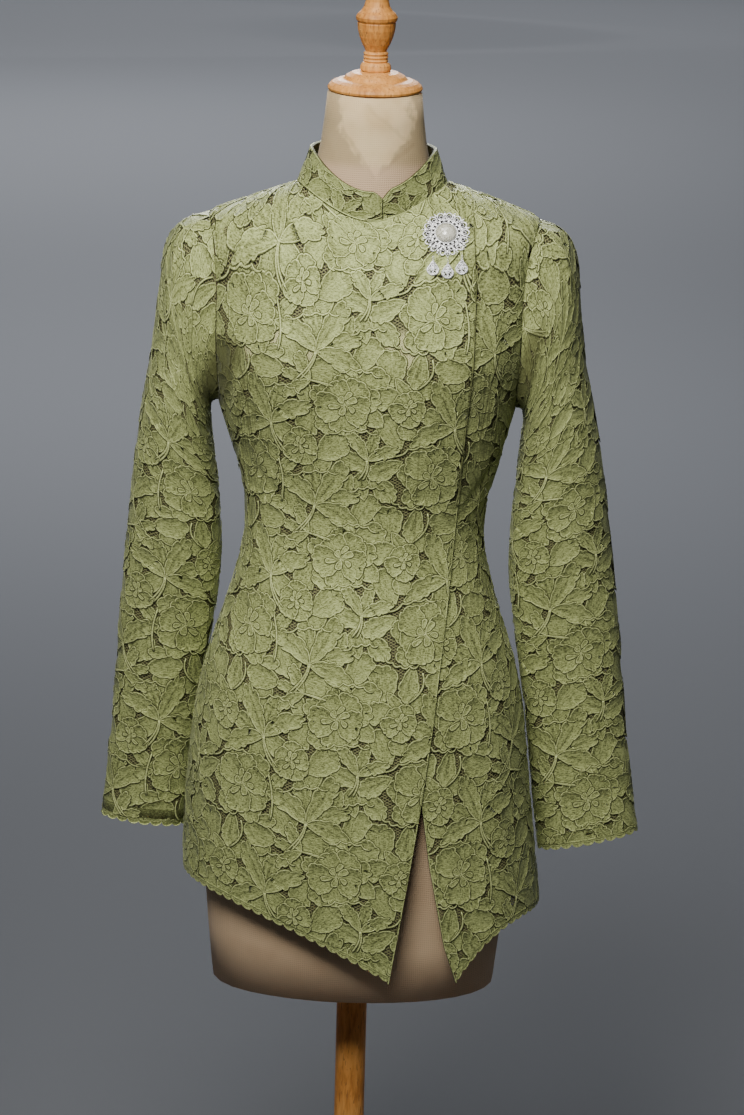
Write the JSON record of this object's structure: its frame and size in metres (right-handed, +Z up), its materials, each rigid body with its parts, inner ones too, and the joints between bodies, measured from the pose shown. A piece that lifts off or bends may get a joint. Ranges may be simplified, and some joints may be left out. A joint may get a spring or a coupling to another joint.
{
  "type": "kebaya blouse on a dress form",
  "caption": "Long-sleeved corded-lace kebaya blouse with a stand collar, an asymmetric wrap-over front, scalloped hems and a drop brooch, shown on a limbless dress form with a turned stand",
  "frame": {"origin": "centre of the underside of the stand's base, on the floor", "axes": "+Z up, -Y the front of the blouse, +X the wearer's left"},
  "size_m": [0.5744, 0.3998, 1.5361],
  "materials": {
    "lace": "corded floral lace, sage green, matt with a soft sheen",
    "form_cover": "cream linen cover, matt",
    "turned_wood": "honey-coloured turned wood, clear gloss varnish",
    "silver": "bright silver plate with clear stones",
    "pearl": "pearl lustre"
  },
  "bodies": {
    "garment_and_form": {"right_front": "lace", "left_front": "lace", "back": "lace", "right_front_hem_edging": "lace", "left_front_hem_edging": "lace", "back_hem_edging": "lace", "right_sleeve": "lace", "left_sleeve": "lace", "right_cuff_edging": "lace", "left_cuff_edging": "lace", "collar": "lace", "form_torso": "form_cover", "neck_cap": "turned_wood", "finial": "turned_wood", "pole": "turned_wood", "base": "turned_wood", "brooch_rosette": "silver", "brooch_pearl": "pearl"},
    "drop_right_body": {"drop_right": "silver"},
    "drop_middle_body": {"drop_middle": "silver"},
    "drop_left_body": {"drop_left": "silver"}
  },
  "joints": [
    {"name": "drop_right_hinge", "type": "hinge", "parent": "garment_and_form", "child": "drop_right_body", "pos_m": [0.06195, -0.09902, 1.27509], "axis": [-0.9999, -0.0105, 0], "range_deg": [0, 60]},
    {"name": "drop_middle_hinge", "type": "hinge", "parent": "garment_and_form", "child": "drop_middle_body", "pos_m": [0.07655, -0.10048, 1.27277], "axis": [-0.9999, -0.0105, 0], "range_deg": [0, 60]},
    {"name": "drop_left_hinge", "type": "hinge", "parent": "garment_and_form", "child": "drop_left_body", "pos_m": [0.09056, -0.09757, 1.27673], "axis": [-0.9999, -0.0105, 0], "range_deg": [0, 60]}
  ]
}
